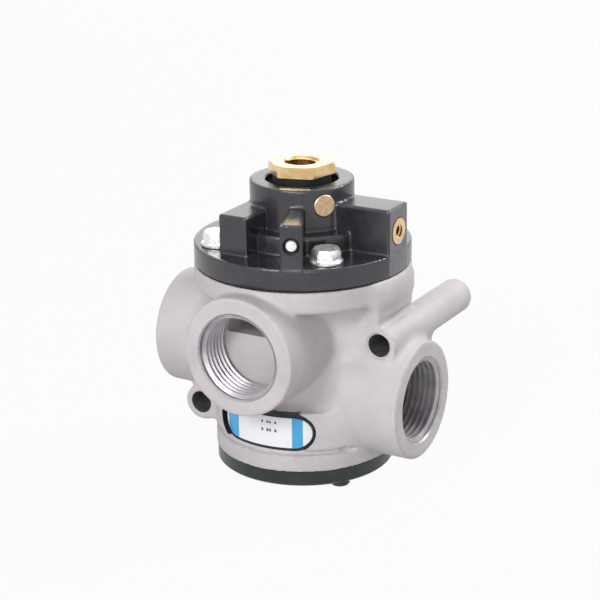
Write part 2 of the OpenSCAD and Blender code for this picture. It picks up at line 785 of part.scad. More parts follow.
module upper_poppet() {
  color(brass) difference() {
    translate([0, 0, upper_poppet_z + poppet_t]) rotate([180, 0, 0]) carrier(guide_r + fit_gap);
    translate([0, 0, clip_z]) cylinder(r = clip_r + 0.6, h = clip_t + cut);
  }
}

module upper_poppet_seal() {
  color(rubber) translate([0, 0, upper_poppet_z])
    ring(facing_in_r + fit_gap, facing_out_r - fit_gap, facing_t);
}

module poppet_clip() {
  color(steel) translate([0, 0, clip_z]) difference() {
    ring(clip_neck_r + fit_gap, clip_r, clip_t);
    translate([-clip_neck_r * 0.7, -clip_r - cut, -cut]) cube([clip_neck_r * 1.4, clip_r, clip_t + 2 * cut]);
  }
}

module lower_poppet() {
  color(brass) translate([0, 0, lower_poppet_z]) {
    carrier(thread_r + fit_gap);
    translate([0, 0, -spring_boss_h]) ring(thread_r + fit_gap, spring_boss_r, spring_boss_h);
  }
}

module lower_poppet_seal() {
  color(rubber) translate([0, 0, lower_poppet_z + poppet_t - facing_t])
    ring(facing_in_r + fit_gap, facing_out_r - fit_gap, facing_t);
}

module lower_nut() {
  color(steel) translate([0, 0, lower_nut_z]) nut();
}

// Height of the wire's middle after t turns: closed, ground ends and an even pitch between
function spring_height(t, length) =
  t < 1 ? spring_end + closed_pitch * t
  : t > spring_turns - 1 ? length - spring_end - closed_pitch * (spring_turns - t)
  : spring_end + closed_pitch + (t - 1) * (length - 2 * (spring_end + closed_pitch)) / (spring_turns - 2);

module return_spring() {
  sides = 8;
  top = 2;
  turn_steps = 16;
  last = turn_steps * spring_turns;
  length = spring_top_z - spring_floor_z;
  points = [for (i = [0:last], k = [0:sides - 1])
    let (turn = 360 * i / turn_steps, around = 360 * k / sides,
      r = spring_r + spring_wire / 2 * cos(around),
      h = spring_height(i / turn_steps, length) + spring_wire / 2 * sin(around))
    [r * cos(turn), r * sin(turn), spring_floor_z + max(0, min(length, h))]];
  walls = [for (i = [0:last - 1], k = [0:sides - 1])
    let (n = (k + 1) % sides, a = i * sides, b = a + sides) each [[a + k, b + n, a + n], [a + k, b + k, b + n]]];
  ends = [for (j = [1:sides - 2]) let (k = (top + j) % sides, n = (k + 1) % sides, b = last * sides)
    each [[top, n, k], [b + top, b + k, b + n]]];
  color(steel) polyhedron(points, concat(walls, ends));
}

// ---- Override pin ----

module override_pin() {
  color(steel) translate([0, 0, override_z]) outward(lug_az) translate([0, 0, pin_in]) difference() {
    chamfered_disc(pin_r, pin_l, 0.3);
    translate([0, 0, pin_l / 2 - pin_groove_w / 2]) ring(pin_groove_r, pin_r + cut, pin_groove_w);
  }
}

module override_seal() {
  color(rubber) translate([0, 0, override_z]) outward(lug_az)
    translate([0, 0, pin_in + pin_l / 2 - pin_groove_w / 2 + 0.1])
      soft_ring(pin_groove_r + fit_gap, pin_bore_r - run_gap / 2, pin_groove_w - 0.2, 0.25);
}

body();
label_plate();
bottom_cap();
bottom_cap_seal();
bottom_cap_screws();
guide_plate();
guide_plate_seal();
guide_plate_ring();
guide_bush();
stem_seal();
cover_gasket();
pilot_cover();
cover_screws();
pilot_fitting();
fitting_seal();
side_port_insert();
passage_plug();
stem();
pilot_piston();
piston_seal();
piston_nut();
upper_poppet();
upper_poppet_seal();
poppet_clip();
lower_poppet();
lower_poppet_seal();
lower_nut();
return_spring();
override_pin();
override_seal();
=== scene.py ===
import math

import bmesh
import bpy
import numpy as np
from mathutils import Matrix, Vector


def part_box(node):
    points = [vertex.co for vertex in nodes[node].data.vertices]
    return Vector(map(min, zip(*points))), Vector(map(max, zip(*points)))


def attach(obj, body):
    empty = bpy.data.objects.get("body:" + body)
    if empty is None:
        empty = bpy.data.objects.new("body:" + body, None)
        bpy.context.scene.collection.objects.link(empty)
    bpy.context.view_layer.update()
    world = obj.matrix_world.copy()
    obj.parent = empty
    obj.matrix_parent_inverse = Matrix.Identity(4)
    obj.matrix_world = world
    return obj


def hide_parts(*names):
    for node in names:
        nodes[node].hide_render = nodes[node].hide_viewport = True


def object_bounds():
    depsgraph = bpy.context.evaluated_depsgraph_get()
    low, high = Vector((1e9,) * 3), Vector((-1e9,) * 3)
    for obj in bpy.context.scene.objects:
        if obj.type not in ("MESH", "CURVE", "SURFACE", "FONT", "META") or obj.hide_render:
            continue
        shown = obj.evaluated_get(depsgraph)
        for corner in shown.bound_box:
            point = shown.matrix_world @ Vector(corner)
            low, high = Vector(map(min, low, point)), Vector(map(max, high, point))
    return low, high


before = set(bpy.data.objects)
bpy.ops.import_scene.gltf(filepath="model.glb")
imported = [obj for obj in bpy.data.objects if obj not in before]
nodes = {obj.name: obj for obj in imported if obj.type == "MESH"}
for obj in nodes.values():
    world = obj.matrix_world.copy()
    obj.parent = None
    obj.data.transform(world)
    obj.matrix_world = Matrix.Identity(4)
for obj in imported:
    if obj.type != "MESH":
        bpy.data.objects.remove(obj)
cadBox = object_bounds()
scene = bpy.context.scene
mm = 0.001

# Where the main pieces lie, in millimetres, read from the frame
bodyLow, bodyHigh = [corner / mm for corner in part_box("body")]
coverLow, coverHigh = [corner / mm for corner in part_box("pilot_cover")]
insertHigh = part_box("side_port_insert")[1] / mm
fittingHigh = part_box("pilot_fitting")[1] / mm
screwBox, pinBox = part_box("cover_screws"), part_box("override_pin")
capTop = bodyLow.z
discTop = coverLow.z + 8.4  # top of the cover's flat disc
print("frame read, body from", list(bodyLow), "to", list(bodyHigh))
print("screws reach", screwBox[1].z / mm, "and the pin", pinBox[1].z / mm, "in height")


def linear(hexText):  # an sRGB hex colour as linear RGBA
    parts = [int(hexText[i:i + 2], 16) / 255 for i in (1, 3, 5)]
    return [c / 12.92 if c <= 0.04045 else ((c + 0.055) / 1.055) ** 2.4 for c in parts] + [1.0]


def addNode(tree, kind, settings=None, links=None):  # sockets given as links are joined, anything else is set
    node = tree.nodes.new(kind)
    for key, value in (settings or {}).items():
        setattr(node, key, value)
    for key, value in (links or {}).items():
        if isinstance(value, bpy.types.NodeSocket):
            tree.links.new(value, node.inputs[key])
        else:
            node.inputs[key].default_value = value
    return node


def mathsIn(tree):  # a short way to write sums in a node tree
    def maths(operation, *values):
        return addNode(tree, "ShaderNodeMath", {"operation": operation}, dict(enumerate(values))).outputs[0]
    return maths


def newMaterial(name):
    material = bpy.data.materials.new(name)
    material.use_nodes = True
    tree = material.node_tree
    shader = next(n for n in tree.nodes if n.type == "BSDF_PRINCIPLED")
    place = addNode(tree, "ShaderNodeTexCoord").outputs["Object"]
    return material, tree, shader, place


# Each finish: two shades that mottle into each other, the size of that mottling, the size and depth of
# the surface grain, and how the roughness wanders
finishes = {
    # die-cast aluminium, shot blasted and clear lacquered: even satin grey with a fine sandy grain
    "lacqueredDieCasting": dict(light="#CEC8CA", dark="#C2BCBF", mottleMm=14, grainMm=0.55, grainDepthMm=0.035,
                                roughness=0.56, roughSpread=0.08, metallic=0.0, specular=0.4),
    # aluminium as the tap leaves it: a little darker and shinier than the lacquered casting
    "tappedAluminium": dict(light="#BCB9BD", dark="#9A969B", mottleMm=9, grainMm=0.3, grainDepthMm=0.02,
                            roughness=0.36, roughSpread=0.1, metallic=0.5, specular=0.5),
    # glass-filled nylon, moulded in a spark-eroded tool: violet-black with a soft sheen
    "mouldedNylon": dict(light="#312E35", dark="#25232A", mottleMm=6, grainMm=0.35, grainDepthMm=0.02,
                         roughness=0.24, roughSpread=0.08, metallic=0.0, specular=0.7),
    # cast cap with a thick black stove enamel: near black, slightly blue
    "stoveEnamelledCap": dict(light="#1E2729", dark="#151B1D", mottleMm=5, grainMm=0.6, grainDepthMm=0.05,
                              roughness=0.34, roughSpread=0.1, metallic=0.0, specular=0.5),
    # zinc-plated steel: nearly white metal with faint blue-grey clouds
    "zincPlatedSteel": dict(light="#F4F3F0", dark="#DAD9D9", mottleMm=2.5, grainMm=0.25, grainDepthMm=0.012,
                            roughness=0.28, roughSpread=0.12, metallic=0.75, specular=0.5),
    # blackened steel screws under the cap
    "blackenedSteel": dict(light="#3C3E40", dark="#26282A", mottleMm=2.5, grainMm=0.25, grainDepthMm=0.015,
                           roughness=0.4, roughSpread=0.1, metallic=0.6, specular=0.5),
    # free-cutting brass, turned and milled bright: warm yellow with darker handling marks
    "turnedBrass": dict(light="#EBD2A6", dark="#CDAB78", mottleMm=7, grainMm=0.2, grainDepthMm=0.01,
                        roughness=0.2, roughSpread=0.12, metallic=1.0, specular=0.5),
    # brass plug pressed in and left as it came off the bar lathe: paler and duller
    "barBrass": dict(light="#D6BC9C", dark="#B39574", mottleMm=1.2, grainMm=0.25, grainDepthMm=0.02,
                     roughness=0.38, roughSpread=0.1, metallic=0.85, specular=0.5),
    # drilled aluminium in the mounting tubes' holes: dark grey, painted shade for the shade deep inside the holes
    "drilledHolePaintedShade": dict(light="#6C6E71", dark="#4C4F52", mottleMm=2, grainMm=0.3, grainDepthMm=0.03,
                             roughness=0.5, roughSpread=0.1, metallic=0.2, specular=0.4),
    # painted shade: near black on the floor and walls of the label's recess, where the recess lies in shade;
    # nearly matt
    "recessPaintedShade": dict(light="#2B3333", dark="#1A2021", mottleMm=3, grainMm=0.4, grainDepthMm=0.03,
                        roughness=0.55, roughSpread=0.1, metallic=0.0, specular=0.3),
    # painted light: nylon on the side port's milled end face, paler because that face is lit from the side
    "milledEndPaintedLight": dict(light="#7E7C81", dark="#69676D", mottleMm=3, grainMm=0.3, grainDepthMm=0.03,
                        roughness=0.42, roughSpread=0.1, metallic=0.0, specular=0.4),
    # sintered bronze bearing: brown, dull and porous
    "sinteredBronze": dict(light="#9A7446", dark="#7A5A34", mottleMm=1.5, grainMm=0.2, grainDepthMm=0.03,
                           roughness=0.45, roughSpread=0.1, metallic=1.0, specular=0.5),
    # ground stainless spindle: cool bright grey
    "groundSteel": dict(light="#C9C9CB", dark="#A9A9AC", mottleMm=3, grainMm=0.15, grainDepthMm=0.008,
                        roughness=0.26, roughSpread=0.08, metallic=1.0, specular=0.5),
    # patented spring wire with a phosphate film: dark grey, half dull
    "phosphatedWire": dict(light="#7D7C7B", dark="#5E5D5D", mottleMm=2, grainMm=0.2, grainDepthMm=0.015,
                           roughness=0.42, roughSpread=0.1, metallic=0.9, specular=0.5),
    # nitrile rubber, moulded: flat black with a dusty bloom
    "mouldedNitrile": dict(light="#1D1D1F", dark="#121213", mottleMm=2, grainMm=0.3, grainDepthMm=0.02,
                           roughness=0.68, roughSpread=0.08, metallic=0.0, specular=0.35),
}


# How every finish is woven from its two noises
weave = dict(mottleDetail=5.0, mottleRough=0.6, darkUpTo=0.32, lightFrom=0.66, grainDetail=3.0, grainRough=0.55,
             bumpStrength=0.6, roughFrom=0.3, roughUpTo=0.7)


def makeFinish(name, spec):
    material, tree, shader, place = newMaterial(name)
    mottle = addNode(tree, "ShaderNodeTexNoise", links={
        "Vector": place, "Scale": 1 / (spec["mottleMm"] * mm), "Detail": weave["mottleDetail"],
        "Roughness": weave["mottleRough"]}).outputs["Fac"]
    ramp = addNode(tree, "ShaderNodeValToRGB", links={"Fac": mottle})
    ends = ramp.color_ramp.elements
    ends[0].position, ends[0].color = weave["darkUpTo"], linear(spec["dark"])
    ends[1].position, ends[1].color = weave["lightFrom"], linear(spec["light"])
    grain = addNode(tree, "ShaderNodeTexNoise", links={
        "Vector": place, "Scale": 1 / (spec["grainMm"] * mm), "Detail": weave["grainDetail"],
        "Roughness": weave["grainRough"]}).outputs["Fac"]
    bump = addNode(tree, "ShaderNodeBump", links={
        "Height": grain, "Strength": weave["bumpStrength"], "Distance": spec["grainDepthMm"] * mm})
    rough = addNode(tree, "ShaderNodeMapRange", links={
        "Value": mottle, "From Min": weave["roughFrom"], "From Max": weave["roughUpTo"],
        "To Min": spec["roughness"] - spec["roughSpread"] / 2,
        "To Max": spec["roughness"] + spec["roughSpread"] / 2})
    shader.inputs["Metallic"].default_value = spec["metallic"]
    shader.inputs["Specular IOR Level"].default_value = spec["specular"]
    tree.links.new(ramp.outputs["Color"], shader.inputs["Base Color"])
    tree.links.new(rough.outputs["Result"], shader.inputs["Roughness"])
    tree.links.new(bump.outputs["Normal"], shader.inputs["Normal"])
    return material


finish = {name: makeFinish(name, spec) for name, spec in finishes.items()}

# Printed vinyl label: plain colour bands near its ends and two rows of dashes that say nothing
label = dict(radius=33.35, middle=capTop + 15.4, white="#F6F5F9", soiled="#F0F1F6", blue="#4AA9DA",
             ink="#4A545E", leftBand=(-18.6, -11.6), rightBand=(12.4, 16.6), rows=((3.8, 0.5), (0.5, 0.6)),
             dashMm=1.1, dashShare=0.72, gapShare=0.22, text=(-3.2, 6.4), soilMm=3, soilDetail=4.0,
             roughness=0.34)


def makeLabelFinish():
    material, tree, shader, place = newMaterial("printedVinyl")
    maths = mathsIn(tree)

    def between(value, low, high):
        return maths("MULTIPLY", maths("GREATER_THAN", value, low), maths("LESS_THAN", value, high))

    def over(share, under, colour):  # a colour laid over what is under it
        mix = addNode(tree, "ShaderNodeMix", {"data_type": "RGBA"}, {0: share, 6: under, 7: linear(colour)})
        return mix.outputs[2]

    axes = addNode(tree, "ShaderNodeSeparateXYZ", links={"Vector": place})
    around = maths("MULTIPLY", maths("ARCTAN2", axes.outputs["X"], maths("MULTIPLY", axes.outputs["Y"], -1.0)),
                   label["radius"])
    up = maths("SUBTRACT", maths("MULTIPLY", axes.outputs["Z"], 1 / mm), label["middle"])
    bands = maths("ADD", between(around, *label["leftBand"]), between(around, *label["rightBand"]))
    steps = maths("DIVIDE", around, label["dashMm"])
    kept = addNode(tree, "ShaderNodeTexWhiteNoise", {"noise_dimensions": "1D"}, {"W": maths("FLOOR", steps)})
    dash = maths("MULTIPLY", maths("LESS_THAN", maths("FRACT", steps), label["dashShare"]),
                 maths("GREATER_THAN", kept.outputs["Value"], label["gapShare"]))
    rows = [between(up, middle - half, middle + half) for middle, half in label["rows"]]
    ink = maths("MULTIPLY", maths("MULTIPLY", maths("ADD", *rows), dash), between(around, *label["text"]))
    soil = addNode(tree, "ShaderNodeTexNoise", links={
        "Vector": place, "Scale": 1 / (label["soilMm"] * mm), "Detail": label["soilDetail"]})
    paper = over(soil.outputs["Fac"], linear(label["white"]), label["soiled"])
    printed = over(ink, over(bands, paper, label["blue"]), label["ink"])
    tree.links.new(printed, shader.inputs["Base Color"])
    shader.inputs["Roughness"].default_value = label["roughness"]
    return material


finish["printedVinyl"] = makeLabelFinish()
print("finishes made:", len(finish))

# Shapes as distance fields, in millimetres: p holds the x, y and z of the points asked about
origin = (0, 0, 0)


def rod(p, axis, centre, radius, low, high, edge):  # cylinder along an axis with its two rims rounded
    u, v = [p[i] - centre[i] for i in range(3) if i != axis]
    radial = np.hypot(u, v) - radius + edge
    along = np.abs(p[axis] - (low + high) / 2) - (high - low) / 2 + edge
    outside = np.hypot(np.maximum(radial, 0), np.maximum(along, 0))
    return outside + np.minimum(np.maximum(radial, along), 0) - edge


def block(p, low, high, edge):  # box with rounded edges
    q = [np.abs(p[i] - (low[i] + high[i]) / 2) - (high[i] - low[i]) / 2 + edge for i in range(3)]
    outside = np.sqrt(sum(np.maximum(d, 0) ** 2 for d in q))
    return outside + np.minimum(np.maximum(np.maximum(q[0], q[1]), q[2]), 0) - edge


def layer(z, low, high):  # everything between two heights
    return np.abs(z - (low + high) / 2) - (high - low) / 2


def join(a, b, r):  # both, with a fillet of radius r where they meet
    return np.maximum(r, np.minimum(a, b)) - np.hypot(np.maximum(r - a, 0), np.maximum(r - b, 0))


def common(a, b, r):  # what both share, with the new edge rounded to radius r
    return np.minimum(-r, np.maximum(a, b)) + np.hypot(np.maximum(r + a, 0), np.maximum(r + b, 0))


def carve(a, b, r):  # a less b
    return common(a, -b, r)


# How the mesh's corners are slid onto the surface: probe distance, rounds, gentlest slope and
# longest move in cells
slide = dict(probe=0.04, rounds=3, gentlest=0.2, longest=0.4)


def fieldMesh(name, field, low, high, cell):
    # Surface nets: one corner in each cell that the surface crosses, then slid onto the surface
    low, high = np.array(low, float) - 2 * cell, np.array(high, float) + 2 * cell
    counts = np.ceil((high - low) / cell).astype(int) + 1
    axes = [(low[i] + cell * np.arange(counts[i])).astype(np.float32) for i in range(3)]
    grid = [axes[0][:, None, None], axes[1][None, :, None], axes[2][None, None, :]]
    values = np.broadcast_to(field(grid), counts)
    stride = np.array([counts[1] * counts[2], counts[2], 1])
    owners, places, quads = [], [], []
    for axis in range(3):
        first = np.take(values, range(counts[axis] - 1), axis)
        second = np.take(values, range(1, counts[axis]), axis)
        at = np.argwhere((first < 0) != (second < 0))
        a, b = first[tuple(at.T)], second[tuple(at.T)]
        point = at.astype(float)
        point[:, axis] += a / (a - b)
        one, two = (axis + 1) % 3, (axis + 2) % 3
        corners = []
        for d1, d2 in ((1, 1), (0, 1), (0, 0), (1, 0)):
            around = at.copy()
            around[:, one] -= d1
            around[:, two] -= d2
            corners.append(around @ stride)
            owners.append(corners[-1])
            places.append(point)
        quad = np.stack(corners, 1)
        quad[a >= 0] = quad[a >= 0][:, ::-1]
        quads.append(quad)
    owners, places, quads = np.concatenate(owners), np.concatenate(places), np.concatenate(quads)
    used, index = np.unique(owners, return_inverse=True)
    number = np.bincount(index)
    vertices = np.stack([np.bincount(index, places[:, i]) / number for i in range(3)], 1) * cell + low
    lookup = np.zeros(used.max() + 1, int)
    lookup[used] = np.arange(len(used))
    step, farthest = slide["probe"], slide["longest"] * cell
    for _ in range(slide["rounds"]):
        p = list(vertices.T)
        value = field(p)
        slope = np.stack([(field([p[j] + (step if j == i else 0) for j in range(3)])
                           - field([p[j] - (step if j == i else 0) for j in range(3)])) / (2 * step)
                          for i in range(3)], 1)
        move = -value / np.maximum((slope ** 2).sum(1), slide["gentlest"])
        vertices = vertices + slope * np.clip(move, -farthest, farthest)[:, None]
    mesh = bpy.data.meshes.new(name)
    mesh.from_pydata((vertices * mm).tolist(), [], lookup[quads].tolist())
    mesh.update()
    return mesh


def newObject(name, mesh):
    piece = bpy.data.objects.new(name, mesh)
    scene.collection.objects.link(piece)
    return piece


def outward(azimuth, height=0.0):  # turns +Z to point outwards at an azimuth counted from -Y towards +X
    a = math.radians(azimuth)
    turn = Matrix(((math.cos(a), 0, math.sin(a), 0), (math.sin(a), 0, -math.cos(a), 0),
                   (0, 1, 0, 0), (0, 0, 0, 1)))
    return Matrix.Translation((0, 0, height * mm)) @ turn


def turned(work, profile, place=Matrix(), steps=96):  # a closed solid of revolution added to a bmesh
    rings = []
    for r, z in profile:
        ring = [Vector((r * math.cos(t), r * math.sin(t), z)) * mm
                for t in [2 * math.pi * i / steps for i in range(steps if r else 1)]]
        rings.append([work.verts.new(place @ v) for v in ring])
    made = []
    for a, b in zip(rings, rings[1:]):
        for i in range(steps):
            corners = [a[i % len(a)], a[(i + 1) % len(a)], b[(i + 1) % len(b)], b[i % len(b)]]
            corners = list(dict.fromkeys(corners))
            if len(corners) > 2:
                made.append(work.faces.new(corners))
    bmesh.ops.recalc_face_normals(work, faces=made)


def drill(work, azimuths, pitch, r, low, high, steps):  # upright holes on a pitch circle
    for azimuth in azimuths:
        a = math.radians(azimuth)
        turned(work, [(0, low), (r, low), (r, high), (0, high)],
               Matrix.Translation((pitch * math.sin(a) * mm, -pitch * math.cos(a) * mm, 0)), steps)


def cutCrisp(piece, work):  # takes the solids of a bmesh out of a piece, with sharp edges
    cutterMesh = bpy.data.meshes.new("cutter")
    work.to_mesh(cutterMesh)
    work.free()
    cutter = newObject("cutter", cutterMesh)
    fewest = 1000  # a result with fewer faces than this has failed
    for solver in ("MANIFOLD", "EXACT"):
        cut = piece.modifiers.new("bores", "BOOLEAN")
        cut.operation, cut.object, cut.solver = "DIFFERENCE", cutter, solver
        result = bpy.data.meshes.new_from_object(piece.evaluated_get(bpy.context.evaluated_depsgraph_get()))
        piece.modifiers.clear()
        if len(result.polygons) > fewest:
            break
    print(piece.name, "bores cut with", solver, "faces", len(result.polygons))
    piece.data = result
    bpy.data.objects.remove(cutter)


def paint(piece, names, choose):  # gives each face the finish whose number choose() returns
    piece.data.materials.clear()
    for name in names:
        piece.data.materials.append(finish[name])
    for face in piece.data.polygons:
        face.material_index = choose(face)


def smoothByAngle(piece, degrees=38):
    piece.data.polygons.foreach_set("use_smooth", [True] * len(piece.data.polygons))
    piece.data.set_sharp_from_angle(angle=math.radians(degrees))


def settle(piece, body, slot, *replaced):
    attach(piece, body)
    if replaced:
        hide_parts(*replaced)
    return piece


# Body casting: radii, reaches and heights, then the roundings of its edges and of its inner corners
casting = dict(
    base=35.1, baseTop=capTop + 24, column=28.5, columnLow=capTop + 11, columnHigh=bodyHigh.z - 2,
    drum=42.0, drumLow=bodyHigh.z - 9, shoulder=5.5, shoulderHigh=bodyHigh.z - 3,
    boss=23.0, port=16.6, portDepth=17.0, portLead=0.6, portLeadWide=1.6, core=15.2, coreStart=13.0,
    tube=6.95, tubeX=40.25, tubeHole=4.5, tubeLead=0.4, tubeLeadWide=1.4, tubeFront=-13.9,
    highTube=capTop + 50.1, lowTube=capTop + 12, web=6.25, webInner=14.25, webInto=2, rib=4.5, ribRear=23.0,
    room=(60, capTop + 35, capTop + 85),  # far side, bottom and top of the space that the shoulder fills
    grooveLow=capTop + 6.8, grooveHigh=capTop + 9.0, groove=33.1,
    labelDeep=32.9, recessMiddle=capTop + 16.2, labelHalf=12.9, labelRound=8.1,
    dimple=(28.0, 18.9, 8, 1.5),  # where a cap screw's hole ends: right, front, up and radius
    baseEdge=0.6, plainEdge=1.0, drumEdge=2.6, topEdge=0.6, grooveEdge=0.4, webEdge=1.2, tubeEdge=0.7,
    coreCorner=0.2, coreEdge=0.6, dimpleEdge=0.3,
    baseFillet=5.0, drumFillet=7.5, bossFillet=3.5, exhaustFillet=1.4, webFillet=5.0, tubeFillet=2.5,
    partFillet=1.5, ribFillet=2.0, cell=0.85)
# each port: azimuth, reach and height, the bottom and top of its passage, and the fillet at its root
ports = [
    dict(azimuth=0, reach=-bodyLow.y, height=capTop + 50, low=capTop + 52.8, high=capTop + 58.5,
         fillet=casting["exhaustFillet"]),
    dict(azimuth=90, reach=bodyHigh.x, height=capTop + 25.5, low=capTop + 10, high=capTop + 21.5,
         fillet=casting["bossFillet"]),
    dict(azimuth=-90, reach=-bodyLow.x, height=capTop + 39.3, low=capTop + 27, high=capTop + 42.5,
         fillet=casting["bossFillet"])]
tubes = ((casting["tubeX"], casting["highTube"]), (-casting["tubeX"], casting["lowTube"]))
# the main bore's radii, and its heights above the body's underside
bore = dict(spigot=26, spigotTop=8, inlet=24, inletTop=23.8, rim=14.6, seat=13, lowSeat=(23, 27), chamber=21,
            highSeat=(42.5, 46.5), exhaustFloor=45.7, plate=60, piston=25.5, ring=26.75, ringLow=63.2,
            ringHigh=64.45, top=75.5, below=-1)
# fixing holes: azimuths, pitch radius, radius, depth and overrun
coverHoles = dict(azimuths=(45, 135, 225, 315), pitch=33.5, r=3, deep=8, past=1)
capHoles = dict(azimuths=(56, 124, 236, 304), pitch=30, r=2, deep=9, past=1)


def portAxis(port):  # axis number and sign of a port's direction
    return (1, -1) if port["azimuth"] == 0 else (0, 1 if port["azimuth"] > 0 else -1)


def tubeField(p, c, side, height, webTop):  # a mounting tube with the web that joins it to the wall
    tube = rod(p, 1, (side * c["tubeX"], 0, height), c["tube"], c["tubeFront"], bodyHigh.y, c["tubeEdge"])
    near, far = sorted((side * c["webInner"], side * c["tubeX"]))
    web = block(p, (near, c["tubeFront"], height - c["web"]), (far, -c["tubeFront"], webTop), c["webEdge"])
    return join(tube, web, c["partFillet"])


def bodyField(p):
    c = casting
    x, y, z = p
    base = rod(p, 2, origin, c["base"], capTop, c["baseTop"], c["baseEdge"])
    groove = np.maximum(layer(z, c["grooveLow"], c["grooveHigh"]), c["groove"] - np.hypot(x, y))
    base = carve(base, groove, c["grooveEdge"])
    column = rod(p, 2, origin, c["column"], c["columnLow"], c["columnHigh"], c["plainEdge"])
    shape = join(base, column, c["baseFillet"])
    drum = rod(p, 2, origin, c["drum"], c["drumLow"], bodyHigh.z + 6, c["drumEdge"])  # cut level just below
    shape = join(shape, common(drum, z - bodyHigh.z, c["topEdge"]), c["drumFillet"])

    tx, front, rear = c["tubeX"], c["tubeFront"], -c["tubeFront"]
    high = tubeField(p, c, 1, c["highTube"], c["drumLow"] + c["webInto"])
    rib = block(p, (tx - c["rib"], front, ports[1]["height"]),
                (tx + c["rib"], c["ribRear"], c["highTube"]), c["webEdge"])
    high = join(high, rib, c["ribFillet"])
    farSide, roomLow, roomHigh = c["room"]
    shoulder = rod(p, 2, origin, c["drum"], c["drumLow"] - c["shoulder"], c["shoulderHigh"], c["webEdge"])
    room = block(p, (c["webInner"], front, roomLow), (farSide, rear, roomHigh), c["plainEdge"])
    high = join(high, common(shoulder, room, c["plainEdge"]), c["partFillet"])
    shape = join(shape, high, c["webFillet"])
    shape = join(shape, tubeField(p, c, -1, c["lowTube"], c["lowTube"] + c["web"]), c["tubeFillet"])

    for port in ports:
        axis, sign = portAxis(port)
        ends = sorted((0, sign * port["reach"]))
        boss = rod(p, axis, (0, 0, port["height"]), c["boss"], *ends, c["plainEdge"])
        shape = join(shape, boss, port["fillet"])
    right, ahead, up, r = c["dimple"]
    dimple = np.sqrt((x - right) ** 2 + (y + ahead) ** 2 + (z - capTop - up) ** 2) - r
    shape = carve(shape, dimple, c["dimpleEdge"])
    for port in ports:  # cored passages from the bores to the chambers
        axis, sign = portAxis(port)
        ends = sorted((sign * c["coreStart"], sign * (port["reach"] - c["portDepth"] + 0.5)))
        core = rod(p, axis, (0, 0, port["height"]), c["core"], *ends, c["coreCorner"])
        shape = carve(shape, np.maximum(core, layer(z, port["low"], port["high"])), c["coreEdge"])
    return shape


def recessTool(work):  # the label's recess: a slot shape pressed in from the front, down to a round floor
    c = casting
    half, r, steps = c["labelHalf"], c["labelRound"], 60
    columns = []
    for i in range(steps + 1):
        x = (half + r - 0.01) * math.sin(math.pi * (i / steps - 0.5))
        rise = math.sqrt(r ** 2 - max(abs(x) - half, 0) ** 2)
        columns.append([work.verts.new(Vector((x, y, c["recessMiddle"] + up)) * mm)
                        for y in (-math.sqrt(c["labelDeep"] ** 2 - x ** 2), -c["base"] - 4)
                        for up in (-rise, rise)])
    made = [work.faces.new(columns[end][k] for k in (0, 1, 3, 2)) for end in (0, -1)]
    for a, b in zip(columns, columns[1:]):
        for k, m in ((0, 1), (1, 3), (3, 2), (2, 0)):
            made.append(work.faces.new([a[k], a[m], b[m], b[k]]))
    bmesh.ops.recalc_face_normals(work, faces=made)


def mainBore(work):  # everything bored on the axis, from the cap's spigot up to the piston
    b = bore
    (lowSeat, lowTop), (highSeat, highTop) = b["lowSeat"], b["highSeat"]
    turned(work, [
        (0, b["below"]), (b["spigot"], b["below"]), (b["spigot"], b["spigotTop"]), (b["inlet"], b["spigotTop"]),
        (b["inlet"], b["inletTop"]), (b["rim"], b["inletTop"]), (b["rim"], lowSeat), (b["seat"], lowSeat),
        (b["seat"], lowTop), (b["chamber"], lowTop), (b["chamber"], highSeat), (b["seat"], highSeat),
        (b["seat"], highTop), (b["rim"], highTop), (b["rim"], b["exhaustFloor"]),
        (b["chamber"], b["exhaustFloor"]), (b["chamber"], b["plate"]), (b["piston"], b["plate"]),
        (b["piston"], b["ringLow"]), (b["ring"], b["ringLow"]),
        (b["ring"], b["ringHigh"]), (b["piston"], b["ringHigh"]), (b["piston"], b["top"]), (0, b["top"])],
        Matrix.Translation((0, 0, capTop * mm)))


def bodyFinishAt(face):  # 0 cast, 1 tapped, 2 drilled holes in painted shade, 3 painted shade in the label's recess
    c = casting
    x, y, z = face.center / mm
    normal = face.normal
    outline = math.hypot(max(abs(x) - c["labelHalf"], 0), z - c["recessMiddle"]) - c["labelRound"]
    # painted shade: the label's recess, floor and walls, gets the near-black finish
    if y < 0 and outline < 0.03 and c["labelDeep"] - 0.1 < math.hypot(x, y) < c["base"] + 3:
        return 3
    # painted shade: the walls of the mounting tubes' holes get the dark grey finish
    if any(math.hypot(x - tubeX, z - tubeZ) < c["tubeHole"] + 0.05 for tubeX, tubeZ in tubes):
        return 2
    for port in ports:
        front = port["azimuth"] == 0
        out, side = (-y, x) if front else (abs(x) if x * port["azimuth"] > 0 else 0, y)
        along = abs(normal.y if front else normal.x)
        radius = math.hypot(side, z - port["height"])
        wall = radius < c["port"] + 0.05 and along < 0.2
        lead = radius < c["port"] + 1.5 and 0.25 < along < 0.97
        if out > port["reach"] - c["portDepth"] + 0.2 and (wall or lead):
            return 1
    return 1 if math.hypot(x, y) < bore["ring"] + 0.25 and math.hypot(normal.x, normal.y) > 0.5 else 0


